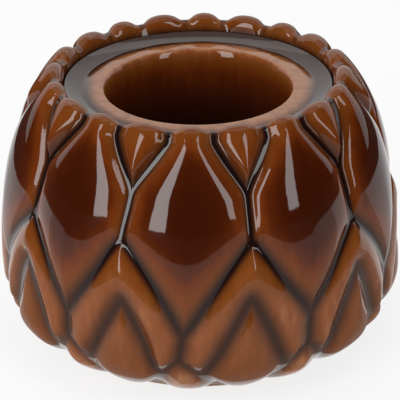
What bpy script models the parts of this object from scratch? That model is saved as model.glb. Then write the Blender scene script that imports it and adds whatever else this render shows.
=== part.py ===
"""Artichoke votive holder: a glazed shell of overlapping leaves, a candle cup let into its
crown, and four felt pads under its foot. Metres, +Z up. The origin is the middle of the
surface that the pads stand on, and the front leaf faces -Y."""

import math

import bmesh
import bpy
import numpy as np

# Body: the outline that the crests of the leaves touch
BELLY_RADIUS = 0.0503
BELLY_HEIGHT = 0.0180
CROWN_TOP = 0.0702
CROWN_RADIUS = 0.0364
BASE_RADIUS = 0.0386
UPPER_FULLNESS = 2.75
BASE_FULLNESS = 2.1
CROWN_ROUND = 0.0029

# Foot ring, the pads under it, and the base inside it with its firing vent
PAD_COUNT = 4
PAD_RADIUS = 0.0035
PAD_THICKNESS = 0.0012
FOOT_INSET = 0.0030
FOOT_WIDTH = 0.0085
FOOT_HEIGHT = 0.0012
BASE_RECESS = 0.0015
BASE_THICKNESS = 0.0045
VENT_RADIUS = 0.0015

# Leaves: the upper row widens between two depths under the crown, from a share of its sector
# to all of it. Each lower row is a pointed arch from its tip, as wide as its sector at its
# drop under the tip.
LEAF_COUNT = 10
UPPER_LEAF_NECK = 0.0022
UPPER_LEAF_WIDEST = 0.0142
NECK_SHARE = 0.46
CHEVRON_TIP = 0.0453
CHEVRON_DROP = 0.0213
LOWER_TIP = 0.0320
LOWER_DROP = 0.0363
BASE_TIP = 0.0160
BASE_DROP = 0.0230
ARCH_POWER = 0.84
LEAN = math.radians(-2.1)

# Grooves between the leaves: depth at four heights, how fast a leaf rises beside one, and
# how round the glaze leaves their bottoms
CROWN_GROOVE = 0.0025
UPPER_GROOVE = 0.0037
CHEVRON_GROOVE = 0.0029
BASE_GROOVE = 0.0016
OVER_EDGE = 0.0015
UNDER_EDGE = 0.0022
LOWER_SHARE = 0.7
GROOVE_ROUND = 0.0007

# The leaves' own curves: the big leaves arch across, ridged below and barrel-like above, the
# small upper leaves lie back, the chevrons slope down, and the low leaves are small domes
ARCH_SHARE = 0.5
RIDGE_POWER = 1.4
BARREL_POWER = 2.0
SMALL_LEAF_RECESS = 0.0006
CHEVRON_SLOPE = 0.0013
SMALL_DOME = 0.0009
SMALL_DOME_REACH = 0.0055

# Shell wall behind the grooves, the shelf under the ledge, and the luting seam
SHELL_WALL = 0.0045
SHELF_THICKNESS = 0.0045
SEAM_GAP = 0.0003

# Candle cup
LEDGE_DROP = 0.0047
FLANGE_THICKNESS = 0.0045
MOUTH_RADIUS = 0.0220
MOUTH_DROP = 0.0004
LIP_WIDTH = 0.0014
LIP_HEIGHT = 0.0040
ROLL_SHARE = 0.30
VALLEY_SHARE = 0.55
VALLEY_DROP = 0.0006
POOL_RISE = 0.00045
CUP_DEPTH = 0.0450
CUP_TAPER = 0.0007
CUP_WALL = 0.0042
CUP_FLOOR = 0.0045
FLOOR_ROUND = 0.0040

# Facets
COLUMNS_PER_HALF_LEAF = 8
SNAP_SHARE = 0.75
WALL_ROWS = 23
CAP_ROWS = 4
INSIDE_ROWS = 2
COARSE_STEP = 4
HOLLOW_ROWS = 8
CUP_COLUMNS = 56
ROUND_STEPS = 4
PAD_COLUMNS = 16

HALF_LEAF = math.pi / LEAF_COUNT
FOOT_BOTTOM = PAD_THICKNESS + SEAM_GAP
FOOT_OUTER_RADIUS = BASE_RADIUS - FOOT_INSET
FOOT_INNER_RADIUS = FOOT_OUTER_RADIUS - FOOT_WIDTH
WALL_BOTTOM = FOOT_BOTTOM + FOOT_HEIGHT
BASE_UNDERSIDE = FOOT_BOTTOM + BASE_RECESS
BASE_INSIDE = BASE_UNDERSIDE + BASE_THICKNESS
LEDGE_HEIGHT = CROWN_TOP - LEDGE_DROP
FLANGE_BOTTOM = LEDGE_HEIGHT - FLANGE_THICKNESS
SHELF_HEIGHT = FLANGE_BOTTOM - SEAM_GAP
CUP_OUTER_RADIUS = MOUTH_RADIUS + CUP_WALL
SHELF_RADIUS = CUP_OUTER_RADIUS + SEAM_GAP
CUP_FLOOR_HEIGHT = LEDGE_HEIGHT - CUP_DEPTH


def body_radius(height):
    """Radius of the leaf crests: part of a squarish ellipse on each side of the belly."""
    sides = (
        (height - BELLY_HEIGHT, CROWN_TOP - BELLY_HEIGHT, CROWN_RADIUS, UPPER_FULLNESS),
        (BELLY_HEIGHT - height, BELLY_HEIGHT - WALL_BOTTOM, BASE_RADIUS, BASE_FULLNESS),
    )
    radius = BELLY_RADIUS
    for distance, reach, end_radius, power in sides:
        sweep = reach / (1 - (end_radius / BELLY_RADIUS) ** power) ** (1 / power)
        share = np.clip(distance / sweep, 0, 1)
        radius = radius * (1 - share**power) ** (1 / power)
    return radius


def path_normals(path):
    """Unit normals of a path in radius and height, on the right of its direction."""
    along = np.gradient(path, axis=0)
    along /= np.linalg.norm(along, axis=1)[:, None]
    return np.stack([along[:, 1], -along[:, 0]], axis=1)


def leaf_meridian():
    """Outline of the leaves from their bottom, over the crown's rounded edge, to the ledge.

    Returns its points as radius and height, and where the rounded edge starts and ends."""
    heights = np.linspace(WALL_BOTTOM, CROWN_TOP, 1200)
    wall = np.stack([body_radius(heights), heights], axis=1)
    edge_tops = heights + CROWN_ROUND * (1 - path_normals(wall)[:, 1])
    upper = heights > BELLY_HEIGHT
    wall = wall[heights < np.interp(CROWN_TOP, edge_tops[upper], heights[upper])]
    normal = path_normals(wall)[-1]
    middle = wall[-1] - CROWN_ROUND * normal
    turns = np.linspace(math.atan2(normal[1], normal[0]), math.pi, 60)[1:]
    cap = middle + CROWN_ROUND * np.stack([np.cos(turns), np.sin(turns)], axis=1)
    drop = np.linspace(middle[1], LEDGE_HEIGHT, 20)[1:]
    inside = np.stack([np.full_like(drop, cap[-1, 0]), drop], axis=1)
    return np.concatenate([wall, cap, inside]), len(wall), len(wall) + len(cap) - 1


MERIDIAN, CAP_START, CAP_END = leaf_meridian()
NORMALS = path_normals(MERIDIAN)
RUN = np.concatenate([[0.0], np.cumsum(np.linalg.norm(np.diff(MERIDIAN, axis=0), axis=1))])
CROWN_INNER_RADIUS = MERIDIAN[-1, 0]
FLANGE_RADIUS = CROWN_INNER_RADIUS - SEAM_GAP


def run_at(height):
    """Distance along the meridian to a height on the outer wall."""
    return np.interp(height, MERIDIAN[:CAP_START, 1], RUN[:CAP_START])


def arch_width(height, tip, drop):
    """Half width of a pointed leaf at a height, as an angle about the body's axis."""
    return HALF_LEAF * np.clip((tip - height) / drop, 0, 1) ** ARCH_POWER


def upper_leaf_width(height):
    """Half width of an upper leaf: part of its sector at the neck, all of it at the widest."""
    below = (CROWN_TOP - UPPER_LEAF_NECK - height) / (UPPER_LEAF_WIDEST - UPPER_LEAF_NECK)
    below = np.clip(below, 0, 1)
    return HALF_LEAF * (NECK_SHARE + (1 - NECK_SHARE) * below * (6 - below**5) / 5)


def groove_lines():
    """Grooves round the upper, chevron, lower and base leaves in half a sector.

    Each is a line of angles from the front leaf's middle and distances along the meridian."""
    over_crown = np.linspace(RUN[-1], run_at(CROWN_TOP), 30)
    upper = np.linspace(CROWN_TOP, CHEVRON_TIP, 160)
    chevron = np.linspace(CHEVRON_TIP, BASE_TIP, 160)
    lower = np.linspace(LOWER_TIP, WALL_BOTTOM, 160)
    base = np.linspace(BASE_TIP, WALL_BOTTOM, 160)
    lower_angle = HALF_LEAF - arch_width(lower, LOWER_TIP, LOWER_DROP)
    in_front = lower_angle >= arch_width(lower, BASE_TIP, BASE_DROP)
    lines = (
        (
            np.concatenate([np.full(30, HALF_LEAF * NECK_SHARE), upper_leaf_width(upper)]),
            np.concatenate([over_crown, run_at(upper)]),
        ),
        (HALF_LEAF - arch_width(chevron, CHEVRON_TIP, CHEVRON_DROP), run_at(chevron)),
        (lower_angle[in_front], run_at(lower)[in_front]),
        (arch_width(base, BASE_TIP, BASE_DROP), run_at(base)),
    )
    return [np.stack(line, axis=1) for line in lines]


GROOVES = groove_lines()


def distance_to(groove, angle, run, radius):
    """Distance on the surface from each point to a groove or to its mirror images."""
    nearest = np.full(angle.shape, np.inf)
    for side in (groove[:, 0], -groove[:, 0], 2 * HALF_LEAF - groove[:, 0]):
        across = radius[..., None] * (angle[..., None] - side)
        along = run[..., None] - groove[:, 1]
        nearest = np.minimum(nearest, np.hypot(across, along).min(axis=-1))
    return nearest


def groove_depth(run):
    """Depth of the grooves along the meridian. They run out inside the crown, at the ledge."""
    marks = (
        (0.0, BASE_GROOVE),
        (run_at(LOWER_TIP), CHEVRON_GROOVE),
        (run_at(CROWN_TOP - UPPER_LEAF_WIDEST), UPPER_GROOVE),
        (RUN[CAP_START], CROWN_GROOVE),
        (RUN[CAP_END], CROWN_GROOVE / 2),
        (RUN[-1], 0.0),
    )
    return np.interp(run, *zip(*marks))


def leaf_body(angle, run, height, distances):
    """Depth of the leaves' own curves under the meridian, before the grooves are cut."""
    upper, chevron, lower, base = distances
    width = upper_leaf_width(height)
    between = np.maximum(HALF_LEAF - width, 1e-6)
    across = np.where(angle < width, angle / width, (HALF_LEAF - angle) / between)
    ridge_to_barrel = (CHEVRON_TIP, CROWN_TOP - UPPER_LEAF_WIDEST)
    power = np.interp(height, ridge_to_barrel, (RIDGE_POWER, BARREL_POWER))
    body = ARCH_SHARE * groove_depth(run) * np.clip(across, 0, 1) ** power
    small = (angle >= width) * (1 - np.exp(-upper / UNDER_EDGE))
    below_crown = np.clip((CROWN_TOP - height) / UPPER_LEAF_WIDEST, 0, 1)
    body = body + SMALL_LEAF_RECESS * small * below_crown
    in_chevron = HALF_LEAF - angle < arch_width(height, CHEVRON_TIP, CHEVRON_DROP)
    slope = CHEVRON_SLOPE * (chevron / (chevron + lower + 1e-6)) ** 2
    body = np.where(in_chevron, slope, body)
    for distance, inside in (
        (lower, HALF_LEAF - angle < arch_width(height, LOWER_TIP, LOWER_DROP)),
        (base, angle < arch_width(height, BASE_TIP, BASE_DROP)),
    ):
        dome = SMALL_DOME * (1 - np.clip(distance / SMALL_DOME_REACH, 0, 1)) ** 2
        body = np.where(inside, dome, body)
    return body


def relief(angle, run):
    """How far the surface lies under the meridian, at angles within half a sector."""
    radius = np.interp(run, RUN, MERIDIAN[:, 0])
    height = np.interp(run, RUN, np.maximum.accumulate(MERIDIAN[:, 1]))
    distances = [distance_to(line, angle, run, radius) for line in GROOVES]
    over = (
        angle < upper_leaf_width(height),
        HALF_LEAF - angle < arch_width(height, CHEVRON_TIP, CHEVRON_DROP),
        HALF_LEAF - angle < arch_width(height, LOWER_TIP, LOWER_DROP),
        angle < arch_width(height, BASE_TIP, BASE_DROP),
    )
    body = leaf_body(angle, run, height, distances)
    groove = groove_depth(run)
    cut = np.zeros_like(angle)
    for distance, is_over, share in zip(distances, over, (1, 1, LOWER_SHARE, LOWER_SHARE)):
        rounded = np.hypot(distance, GROOVE_ROUND) - GROOVE_ROUND
        fall = np.exp(-rounded / np.where(is_over, OVER_EDGE, UNDER_EDGE))
        cut += (np.maximum(share * groove - body, 0) * fall) ** 3
    return body + np.cbrt(cut)


def half_leaf_grid():
    """Angles and distances of a grid over half a sector, with its columns drawn to the grooves."""
    run = np.concatenate(
        [
            np.linspace(0, RUN[CAP_START], WALL_ROWS + 1),
            np.linspace(RUN[CAP_START], RUN[CAP_END], CAP_ROWS + 1)[1:],
            np.linspace(RUN[CAP_END], RUN[-1], INSIDE_ROWS + 1)[1:],
        ]
    )
    step = HALF_LEAF / COLUMNS_PER_HALF_LEAF
    angle = np.tile(np.arange(COLUMNS_PER_HALF_LEAF + 1) * step, (len(run), 1))
    for groove in GROOVES:
        line = groove[np.argsort(groove[:, 1])]
        for row in np.flatnonzero((run >= line[0, 1]) & (run <= line[-1, 1])):
            place = np.interp(run[row], line[:, 1], line[:, 0])
            column = min(max(round(place / step), 1), COLUMNS_PER_HALF_LEAF - 1)
            if abs(place / step - column) < SNAP_SHARE:
                angle[row, column] = place
    return angle, np.tile(run[:, None], (1, angle.shape[1]))


def lean_at(height):
    """Turn of the leaves about the axis: they lean to one side below the crown."""
    return LEAN * (CROWN_TOP - height) / CROWN_TOP


def even_angles(count, height):
    """Even angles round a ring, from half a leaf beside the middle of the front leaf."""
    return np.arange(count) * 2 * math.pi / count - math.pi / 2 - HALF_LEAF + lean_at(height)


def add_ring(bm, radius, height, angles):
    """Vertices at these angles. Radius and height are numbers, or a value for each angle."""
    places = np.broadcast_arrays(radius, height, angles)
    return [bm.verts.new((r * math.cos(a), r * math.sin(a), z)) for r, z, a in zip(*places)]


def bridge(bm, first, second, falls=None):
    """Faces between two rings; falls says which way each of them is cut in two."""
    if len(first) < len(second):
        first, second = second, first
    step = len(first) // len(second)
    for i, vert in enumerate(first):
        beside = first[(i + 1) % len(first)]
        under = second[i // step]
        under_beside = second[(i // step + 1) % len(second)]
        if (i + 1) % step:
            bm.faces.new((vert, beside, under))
        elif falls is None and step == 1:
            bm.faces.new((vert, beside, under_beside, under))
        elif falls is None or falls[i]:
            bm.faces.new((vert, beside, under))
            bm.faces.new((beside, under_beside, under))
        else:
            bm.faces.new((vert, beside, under_beside))
            bm.faces.new((vert, under_beside, under))


def bridge_all(bm, rings):
    for first, second in zip(rings, rings[1:]):
        bridge(bm, first, second)


def add_leaves(bm):
    """The rings of the leafy wall and crown, from the bottom up and over to the ledge."""
    angle, run = half_leaf_grid()
    depth = relief(angle, run)
    radius = np.interp(run, RUN, MERIDIAN[:, 0]) - depth * np.interp(run, RUN, NORMALS[:, 0])
    height = np.interp(run, RUN, MERIDIAN[:, 1]) - depth * np.interp(run, RUN, NORMALS[:, 1])
    corners = angle[1:, 1:] + angle[:-1, :-1] + angle[1:, :-1] + angle[:-1, 1:]
    middle = relief(corners / 4, (run[1:, 1:] + run[:-1, :-1]) / 2)
    rising = np.abs((depth[:-1, :-1] + depth[1:, 1:]) / 2 - middle)
    falling = np.abs((depth[:-1, 1:] + depth[1:, :-1]) / 2 - middle)
    falls = falling < rising

    offsets = np.arange(-COLUMNS_PER_HALF_LEAF, COLUMNS_PER_HALF_LEAF)
    mirrored = np.abs(offsets)
    turns = np.arange(LEAF_COUNT)[:, None] * 2 * HALF_LEAF - math.pi / 2
    rings = []
    for row in range(len(angle)):
        lean = lean_at(np.interp(run[row, 0], RUN, MERIDIAN[:, 1]))
        angles = (turns + np.sign(offsets) * angle[row, mirrored] + lean).ravel()
        ring_radius = np.tile(radius[row, mirrored], LEAF_COUNT)
        rings.append(add_ring(bm, ring_radius, np.tile(height[row, mirrored], LEAF_COUNT), angles))
    for row, (first, second) in enumerate(zip(rings, rings[1:])):
        both_sides = np.concatenate([~falls[row, ::-1], falls[row]])
        bridge(bm, first, second, np.tile(both_sides, LEAF_COUNT))
    return rings


def hollow_path():
    """Inside of the shell from the shelf's lip down to its base: radius and height."""
    top = SHELF_HEIGHT - SHELF_THICKNESS
    heights = np.linspace(top, BASE_INSIDE, HOLLOW_ROWS + 1)
    radii = body_radius(heights) - UPPER_GROOVE - SHELL_WALL
    return [(SHELF_RADIUS, SHELF_HEIGHT), (SHELF_RADIUS, top), *zip(radii, heights)]


def build_leaf_shell(material):
    """Outer casting: leaves, crown and shelf, hollow down to a base with a small vent."""
    bm = bmesh.new()
    leaves = add_leaves(bm)
    count = len(leaves[0])
    foot_angles = even_angles(count, WALL_BOTTOM)
    foot = [add_ring(bm, FOOT_OUTER_RADIUS, z, foot_angles) for z in (FOOT_BOTTOM, WALL_BOTTOM)]
    shelf = add_ring(bm, CROWN_INNER_RADIUS, SHELF_HEIGHT, even_angles(count, SHELF_HEIGHT))
    coarse = even_angles(count // COARSE_STEP, WALL_BOTTOM)
    hollow = [add_ring(bm, r, z, coarse) for r, z in hollow_path()]
    vent_angles = even_angles(LEAF_COUNT, WALL_BOTTOM)
    vent = [add_ring(bm, VENT_RADIUS, z, vent_angles) for z in (BASE_INSIDE, BASE_UNDERSIDE)]
    recess = [add_ring(bm, FOOT_INNER_RADIUS, z, coarse) for z in (BASE_UNDERSIDE, FOOT_BOTTOM)]
    bridge_all(bm, foot + leaves[:1])
    bridge_all(bm, leaves[-1:] + [shelf] + hollow + vent + recess + foot[:1])
    return finish_object(bm, "leaf_shell", material)


def cup_path():
    """Half section of the cup from its inner floor, over the lip and ledge, to its underside."""
    floor_radius = MOUTH_RADIUS - CUP_TAPER
    lip_bottom = LEDGE_HEIGHT - MOUTH_DROP - LIP_HEIGHT
    crest = MOUTH_RADIUS + LIP_WIDTH
    turns = np.linspace(0, math.pi / 2, ROUND_STEPS + 1)
    floor_corner = [
        (
            floor_radius - FLOOR_ROUND * (1 - math.sin(turn)),
            CUP_FLOOR_HEIGHT + FLOOR_ROUND * (1 - math.cos(turn)),
        )
        for turn in turns
    ]
    lip = [
        (crest - LIP_WIDTH * math.cos(turn), lip_bottom + LIP_HEIGHT * math.sin(turn))
        for turn in turns
    ]
    ledge_width = FLANGE_RADIUS - crest
    valley = (crest + ledge_width * VALLEY_SHARE, LEDGE_HEIGHT - VALLEY_DROP)
    ledge = [
        (crest + ledge_width * ROLL_SHARE, LEDGE_HEIGHT - MOUTH_DROP),
        valley,
        ((valley[0] + FLANGE_RADIUS) / 2, valley[1] + (VALLEY_DROP + POOL_RISE) / 3),
        (FLANGE_RADIUS, LEDGE_HEIGHT + POOL_RISE),
    ]
    base_radius = CUP_OUTER_RADIUS - CUP_TAPER
    outside = [
        (FLANGE_RADIUS, FLANGE_BOTTOM),
        (CUP_OUTER_RADIUS, FLANGE_BOTTOM),
        (base_radius, CUP_FLOOR_HEIGHT - CUP_FLOOR + FLOOR_ROUND),
        (base_radius - FLOOR_ROUND, CUP_FLOOR_HEIGHT - CUP_FLOOR),
    ]
    return floor_corner + lip + ledge + outside


def build_candle_cup(material):
    """Inner casting: the cup, its rounded lip and the ledge flange that sits on the shelf."""
    bm = bmesh.new()
    angles = even_angles(CUP_COLUMNS, CROWN_TOP)
    rings = [add_ring(bm, r, z, angles) for r, z in cup_path()]
    bridge_all(bm, rings)
    bm.faces.new(rings[0])
    bm.faces.new(rings[-1])
    return finish_object(bm, "candle_cup", material)


def build_felt_pad(number, material):
    """A round felt pad in the middle of the foot ring's width."""
    bm = bmesh.new()
    bmesh.ops.create_cone(
        bm,
        cap_ends=True,
        segments=PAD_COLUMNS,
        radius1=PAD_RADIUS,
        radius2=PAD_RADIUS,
        depth=PAD_THICKNESS,
    )
    bmesh.ops.translate(bm, verts=bm.verts, vec=(0, 0, PAD_THICKNESS / 2))
    pad = finish_object(bm, f"felt_pad_{number}", material)
    turn = 2 * math.pi * (number - 0.5) / PAD_COUNT
    ring_radius = (FOOT_OUTER_RADIUS + FOOT_INNER_RADIUS) / 2
    pad.location = (ring_radius * math.cos(turn), ring_radius * math.sin(turn), 0)
    return pad


def finish_object(bm, name, material):
    """Object from a bmesh: faces out, shaded smooth between its real edges."""
    bmesh.ops.recalc_face_normals(bm, faces=bm.faces)
    mesh = bpy.data.meshes.new(name)
    bm.to_mesh(mesh)
    bm.free()
    mesh.shade_smooth()
    mesh.set_sharp_from_angle(angle=math.radians(50))
    mesh.materials.append(material)
    obj = bpy.data.objects.new(name, mesh)
    bpy.context.scene.collection.objects.link(obj)
    return obj


def make_material(name, colour, roughness):
    material = bpy.data.materials.new(name)
    material.use_nodes = True
    shader = material.node_tree.nodes["Principled BSDF"]
    shader.inputs["Base Color"].default_value = (*colour, 1.0)
    shader.inputs["Roughness"].default_value = roughness
    shader.inputs["Metallic"].default_value = 0.0
    material.diffuse_color = (*colour, 1.0)
    return material


def main():
    for obj in list(bpy.data.objects):
        bpy.data.objects.remove(obj)
    build_leaf_shell(make_material("amber_glaze", (0.165, 0.045, 0.008), 0.12))
    build_candle_cup(make_material("cup_glaze", (0.12, 0.035, 0.012), 0.12))
    felt = make_material("felt", (0.05, 0.045, 0.04), 0.95)
    for number in range(1, PAD_COUNT + 1):
        build_felt_pad(number, felt)


main()
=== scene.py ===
# %% [markdown]
# # A glazed artichoke votive holder
# The real object is a slip-cast pot under a thick, runny amber glaze. Its leaves are relief in
# the casting, and a plain round cup for a candle is let into the crown.
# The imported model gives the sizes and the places. This script puts a finer surface on each
# piece and finds the light that makes a glossy pot look glossy.

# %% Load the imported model
import math

import bmesh
import bpy
import numpy as np
from mathutils import Matrix, Vector


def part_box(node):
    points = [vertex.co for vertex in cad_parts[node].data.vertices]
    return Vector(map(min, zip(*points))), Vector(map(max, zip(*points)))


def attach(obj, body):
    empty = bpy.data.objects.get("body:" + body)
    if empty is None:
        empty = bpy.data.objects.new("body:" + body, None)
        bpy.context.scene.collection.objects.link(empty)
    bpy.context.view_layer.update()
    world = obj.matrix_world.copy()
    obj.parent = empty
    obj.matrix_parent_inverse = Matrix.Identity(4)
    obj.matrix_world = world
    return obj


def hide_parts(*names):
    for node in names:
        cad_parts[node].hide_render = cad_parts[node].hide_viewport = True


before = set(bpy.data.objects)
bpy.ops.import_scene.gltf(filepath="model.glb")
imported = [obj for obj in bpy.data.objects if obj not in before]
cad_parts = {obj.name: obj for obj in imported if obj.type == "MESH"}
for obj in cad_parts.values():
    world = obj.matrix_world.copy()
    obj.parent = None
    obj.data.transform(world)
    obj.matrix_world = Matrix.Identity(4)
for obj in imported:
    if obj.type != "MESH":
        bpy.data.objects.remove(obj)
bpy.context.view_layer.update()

MM = 0.001
print("nodes:", sorted(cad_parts))

# %% [markdown]
# ## The body under the leaves
# A potter would call the body a squat jar: widest low down, drawn in at the shoulder, and
# rolled over at the crown. One line from the foot, over the crown and down to the ledge
# describes it. Each side of the belly is part of a squarish ellipse, because a plain circle
# makes the shoulder too thin and a box makes it too heavy.

# %% Outline of the body
BELLY_RADIUS, BELLY_HEIGHT = 50.3 * MM, 18.0 * MM
CROWN_RADIUS, CROWN_TOP, CROWN_ROUND = 36.4 * MM, 70.2 * MM, 2.9 * MM
BASE_RADIUS, WALL_BOTTOM = 38.6 * MM, 2.7 * MM
UPPER_FULLNESS, BASE_FULLNESS = 2.75, 2.1  # powers of the ellipses; 2 is a plain one
LEDGE_HEIGHT = 65.5 * MM
WALL_POINTS, ROLL_POINTS, INSIDE_POINTS = 1200, 60, 20


def body_radius(height):
    """Radius of the leaf crests at a height."""
    sides = (
        (height - BELLY_HEIGHT, CROWN_TOP - BELLY_HEIGHT, CROWN_RADIUS, UPPER_FULLNESS),
        (BELLY_HEIGHT - height, BELLY_HEIGHT - WALL_BOTTOM, BASE_RADIUS, BASE_FULLNESS),
    )
    radius = BELLY_RADIUS
    for distance, reach, end_radius, power in sides:
        sweep = reach / (1 - (end_radius / BELLY_RADIUS) ** power) ** (1 / power)
        radius = radius * (1 - np.clip(distance / sweep, 0, 1) ** power) ** (1 / power)
    return radius


def path_normals(path):
    """Unit normals of a path in radius and height, on the right of its direction."""
    along = np.gradient(path, axis=0)
    along /= np.linalg.norm(along, axis=1)[:, None]
    return np.stack([along[:, 1], -along[:, 0]], axis=1)


def body_outline():
    """The line from the foot to the ledge, and where its rolled edge starts and ends."""
    heights = np.linspace(WALL_BOTTOM, CROWN_TOP, WALL_POINTS)
    wall = np.stack([body_radius(heights), heights], axis=1)
    # The wall ends where a rolled edge that starts there just reaches the crown's top.
    edge_tops = heights + CROWN_ROUND * (1 - path_normals(wall)[:, 1])
    upper = heights > BELLY_HEIGHT
    wall = wall[heights < np.interp(CROWN_TOP, edge_tops[upper], heights[upper])]
    normal = path_normals(wall)[-1]
    middle = wall[-1] - CROWN_ROUND * normal
    turns = np.linspace(math.atan2(normal[1], normal[0]), math.pi, ROLL_POINTS)[1:]
    roll = middle + CROWN_ROUND * np.stack([np.cos(turns), np.sin(turns)], axis=1)
    drop = np.linspace(middle[1], LEDGE_HEIGHT, INSIDE_POINTS)[1:]
    inside = np.stack([np.full_like(drop, roll[-1, 0]), drop], axis=1)
    return np.concatenate([wall, roll, inside]), len(wall), len(wall) + len(roll) - 1


OUTLINE, ROLL_START, ROLL_END = body_outline()
NORMALS = path_normals(OUTLINE)
RUN = np.concatenate([[0.0], np.cumsum(np.linalg.norm(np.diff(OUTLINE, axis=0), axis=1))])
CROWN_INNER_RADIUS = OUTLINE[-1, 0]
print(f"outline {RUN[-1] / MM:.1f} mm long, crown opening {2 * CROWN_INNER_RADIUS / MM:.1f} mm")

# %% [markdown]
# ## Where the leaves meet
# Ten big leaves start narrow at the crown. Ten small ones hang between them. Under those come
# chevrons, then lower leaves over the chevrons, and little base leaves. Each row repeats ten
# times and is nearly its own mirror image, so half of one leaf's sector is enough to describe
# all edges. They are lines of angles and distances along the outline.

# %% Leaf edges in half a sector
LEAF_COUNT = 10
HALF_LEAF = math.pi / LEAF_COUNT
NECK_DROP, WIDEST_DROP, NECK_SHARE = 2.2 * MM, 14.2 * MM, 0.46
CHEVRON_TIP, CHEVRON_DROP = 45.3 * MM, 21.3 * MM
LOWER_TIP, LOWER_DROP = 32.0 * MM, 36.3 * MM
BASE_TIP, BASE_DROP = 16.0 * MM, 23.0 * MM
ARCH_POWER = 0.84  # below 1 the sides of a pointed leaf bulge
LEAN = math.radians(-2.1)
EDGE_POINTS, CROWN_POINTS = 260, 60


def run_at(height):
    """Distance along the outline to a height on the outer wall."""
    return np.interp(height, OUTLINE[:ROLL_START, 1], RUN[:ROLL_START])


def arch_width(height, tip, drop):
    """Half width of a pointed leaf at a height, as an angle about the pot's axis."""
    return HALF_LEAF * np.clip((tip - height) / drop, 0, 1) ** ARCH_POWER


def upper_leaf_width(height):
    """Half width of a big leaf: part of a sector at its neck, a whole one where it is widest."""
    below = np.clip((CROWN_TOP - NECK_DROP - height) / (WIDEST_DROP - NECK_DROP), 0, 1)
    widening = below * (6 - below**5) / 5  # quick at the neck, and level at the widest place
    return HALF_LEAF * (NECK_SHARE + (1 - NECK_SHARE) * widening)


def leaf_edges():
    """Edges of the upper, chevron, lower and base leaves."""
    over_crown = np.linspace(RUN[-1], run_at(CROWN_TOP), CROWN_POINTS)
    neck = np.full(CROWN_POINTS, HALF_LEAF * NECK_SHARE)
    upper = np.linspace(CROWN_TOP, CHEVRON_TIP, EDGE_POINTS)
    chevron = np.linspace(CHEVRON_TIP, BASE_TIP, EDGE_POINTS)
    lower = np.linspace(LOWER_TIP, WALL_BOTTOM, EDGE_POINTS)
    base = np.linspace(BASE_TIP, WALL_BOTTOM, EDGE_POINTS)
    lower_angle = HALF_LEAF - arch_width(lower, LOWER_TIP, LOWER_DROP)
    in_front = lower_angle >= arch_width(lower, BASE_TIP, BASE_DROP)
    edges = (
        (
            np.concatenate([neck, upper_leaf_width(upper)]),
            np.concatenate([over_crown, run_at(upper)]),
        ),
        (HALF_LEAF - arch_width(chevron, CHEVRON_TIP, CHEVRON_DROP), run_at(chevron)),
        (lower_angle[in_front], run_at(lower)[in_front]),
        (arch_width(base, BASE_TIP, BASE_DROP), run_at(base)),
    )
    return [np.stack(edge, axis=1) for edge in edges]


EDGES = leaf_edges()
print("points on the leaf edges:", [len(edge) for edge in EDGES])

# %% [markdown]
# ## The relief
# Each leaf is a curved body first: the big ones arch from side to side like staves of a
# barrel, the chevrons are rounded bands, and the low ones are small domes. Then a sculptor's
# groove follows every edge, with a width of its own on the leaf that lies over and on the
# leaf that lies under. Both come from two numbers at each point, its distance to the edges
# and its place across its own leaf. Glaze fills the bottoms of the grooves up to a level, so
# they are flat and rounded there. Between the big leaves its pools are black and sharply
# edged, and lower down, where the grooves are wide and shallow, they are softer and paler.

# %% Depth and distance maps
# Depths of the grooves, and the shares of the crown's depth amid its rolled edge and at its end.
CROWN_GROOVE, UPPER_GROOVE, CHEVRON_GROOVE = 2.7 * MM, 4.1 * MM, 1.9 * MM
LOWER_GROOVE, LOWER_GROOVE_HEIGHT, BASE_GROOVE = 2.7 * MM, 19 * MM, 1.9 * MM
ROLL_MIDDLE, MIDDLE_SHARE, END_SHARE = 0.6, 0.7, 0.1
# For the upper, chevron, lower and base edges: how far a groove reaches in mm, and how squarely
# it falls, on the leaf that lies over and on the leaf that lies under.
OVER_EDGES, UNDER_EDGES = (1.4, 3.0, 2.1, 1.9), (1.3, 2.4, 2.3, 2.1)
OVER_POWERS, UNDER_POWERS = (1.6, 1.1, 1.4, 1.4), (1.5, 1.2, 1.2, 1.2)
DEPTH_SHARES, POOL_SHARES = (1, 0.85, 1, 1), (1, 1, 0.85, 0.8)
# The leaves' own curves.
ARCH_HEIGHTS, ARCH_SHARES = (30 * MM, 45 * MM, 57 * MM, 68 * MM), (0.45, 0.5, 0.62, 0.75)
RIDGE_HEIGHTS, RIDGE_POWERS = (38 * MM, 45 * MM, 56 * MM, 70 * MM), (1.3, 1.3, 2.0, 2.0)
CHEVRON_DOMES = (0.5 * MM, 1.3 * MM)  # drop at the upper edge and at the lower one
SMALL_DOME, SMALL_DOME_REACH, SMALL_LEAF_RECESS = 1.2 * MM, 7.0 * MM, 0.6 * MM
# The level that glaze fills a groove to, and how far its dark pools reach, in mm.
GROOVE_ROUND, POOL_LEVEL, POOL_BEND = 0.3 * MM, 0.82, 0.08
# The pool in the ledge's corner also paints shade there.
OVER_POOLS, UNDER_POOLS, CORNER_POOL_AND_SHADE = (1.2, 1.3, 1.8, 1.7), (1.5, 2.1, 2.3, 2.1), 1.3 * MM
OVER_SHARPNESS, UNDER_SHARPNESS = 3, 2
SOFT_BELOW, CRISP_ABOVE, SOFTER, PALER = 22 * MM, 35 * MM, 0.5, 0.12
INNER_NARROWER, INNER_POOL = 0.55, 0.7
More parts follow.
